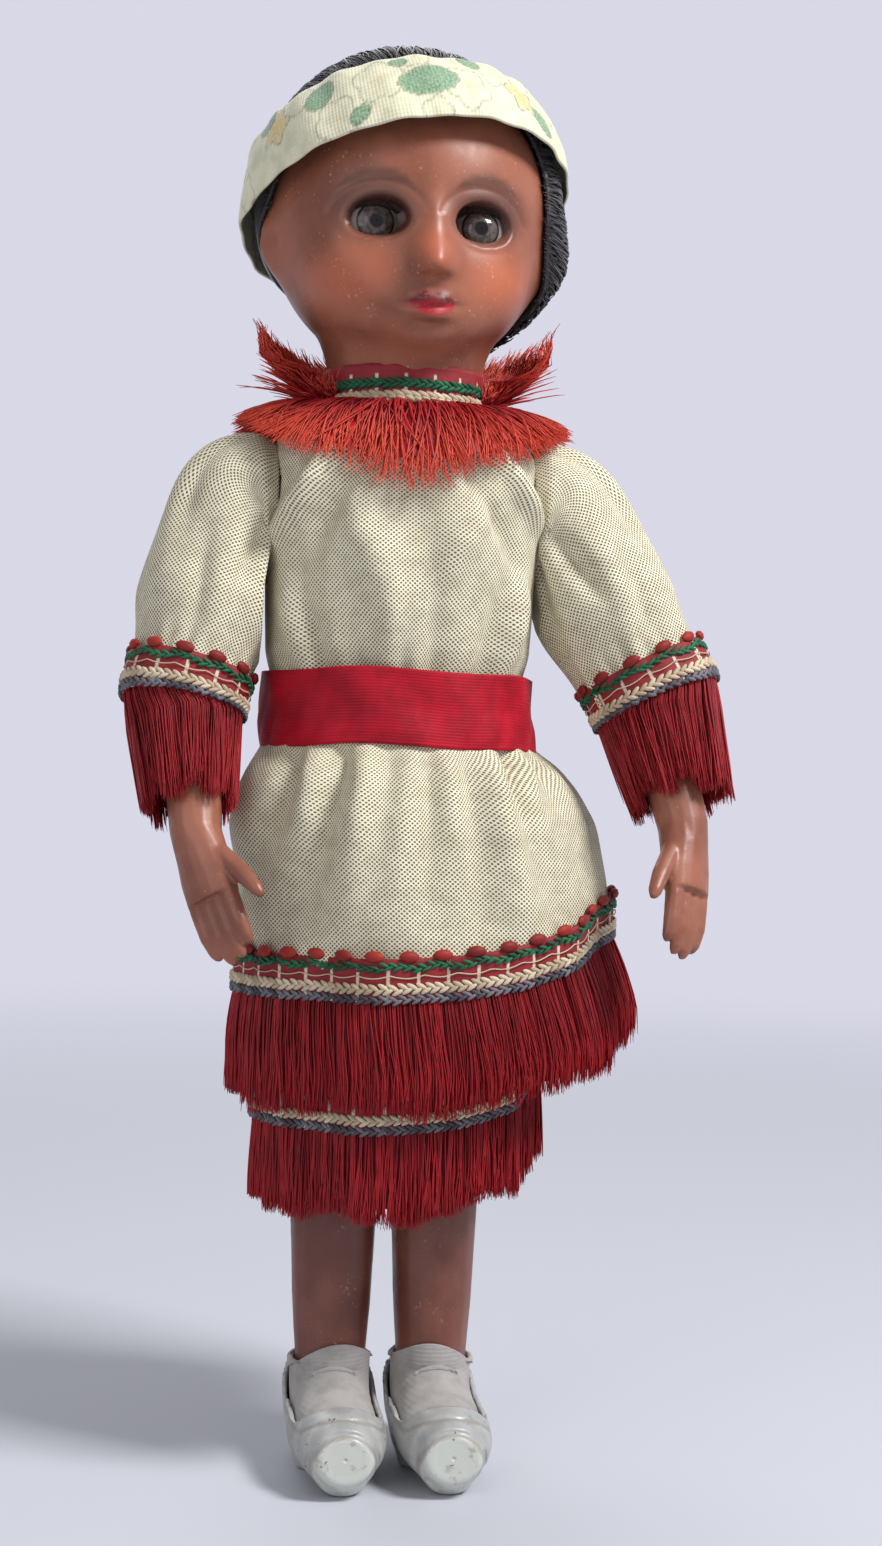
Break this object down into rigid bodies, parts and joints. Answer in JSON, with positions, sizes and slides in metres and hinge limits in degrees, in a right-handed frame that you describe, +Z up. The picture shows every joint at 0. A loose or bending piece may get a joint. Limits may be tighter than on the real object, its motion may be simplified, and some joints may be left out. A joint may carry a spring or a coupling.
{
  "type": "costume doll",
  "caption": "Strung hard-plastic costume doll with sleeping eyes, a black wig, a printed headband, a belted cream tunic with red fringe trims, white socks and shoes.",
  "frame": {"origin": "on the floor under the middle of the whole doll's box; the doll's own axis stands 3.7 mm to its right, because its left arm reaches further out", "axes": "+Z up along the doll, -Y the way the face looks, +X towards the doll's left hand"},
  "size_m": [0.0862, 0.0509, 0.1986],
  "materials": {
    "brown_plastic": "satin",
    "steel": "satin",
    "lead": "matte",
    "rubber": "matte",
    "grey_plastic": "matte",
    "eye_plastic": "gloss",
    "black_hair": "satin",
    "cream_cloth": "matte",
    "printed_ribbon": "matte",
    "red_ribbon": "satin",
    "red_fringe": "satin",
    "white_sock": "matte",
    "white_vinyl": "satin"
  },
  "bodies": {
    "body": {"trunk_front": "brown_plastic", "trunk_back": "brown_plastic", "rubber_band": "rubber", "hip_pin": "steel", "tunic_bodice": "cream_cloth", "tunic_skirt": "cream_cloth", "belt": "red_ribbon", "upper_skirt_trim": "red_fringe", "lower_skirt_trim": "red_fringe", "collar_trim": "red_fringe"},
    "head": {"face": "brown_plastic", "head_back": "brown_plastic", "neck_washer": "steel", "neck_peg": "steel", "eye_bracket": "grey_plastic", "wig": "black_hair", "headband": "printed_ribbon"},
    "eyes": {"left_eye": "eye_plastic", "right_eye": "eye_plastic", "eye_wire": "steel", "eye_weight": "lead"},
    "left_arm": {"left_arm": "brown_plastic", "left_arm_post": "steel", "left_sleeve": "cream_cloth", "left_sleeve_trim": "red_fringe"},
    "right_arm": {"right_arm": "brown_plastic", "right_arm_post": "steel", "right_sleeve": "cream_cloth", "right_sleeve_trim": "red_fringe"},
    "left_leg": {"left_leg": "brown_plastic", "left_sock": "white_sock", "left_shoe": "white_vinyl"},
    "right_leg": {"right_leg": "brown_plastic", "right_sock": "white_sock", "right_shoe": "white_vinyl"}
  },
  "joints": [
    {"name": "neck_swivel", "type": "hinge", "parent": "body", "child": "head", "pos_m": [-0.0037, -0.0003, 0.1475], "axis": [0, 0, 1], "range_deg": [-84, 76]},
    {"name": "eye_roll", "type": "hinge", "parent": "head", "child": "eyes", "pos_m": [-0.00291, -0.01167, 0.171], "axis": [0.9976, 0.0698, 0], "range_deg": [0, 66]},
    {"name": "left_shoulder", "type": "hinge", "parent": "body", "child": "left_arm", "pos_m": [0.0115, -0.0003, 0.134], "axis": [-1, 0, 0], "range_deg": [-45, 70]},
    {"name": "right_shoulder", "type": "hinge", "parent": "body", "child": "right_arm", "pos_m": [-0.0189, -0.0003, 0.134], "axis": [-1, 0, 0], "range_deg": [-5, 70]},
    {"name": "left_hip", "type": "hinge", "parent": "body", "child": "left_leg", "pos_m": [0.0035, -0.0003, 0.086], "axis": [-1, 0, 0], "range_deg": [-10, 10]},
    {"name": "right_hip", "type": "hinge", "parent": "body", "child": "right_leg", "pos_m": [-0.0109, -0.0003, 0.086], "axis": [-1, 0, 0], "range_deg": [-10, 10]}
  ]
}
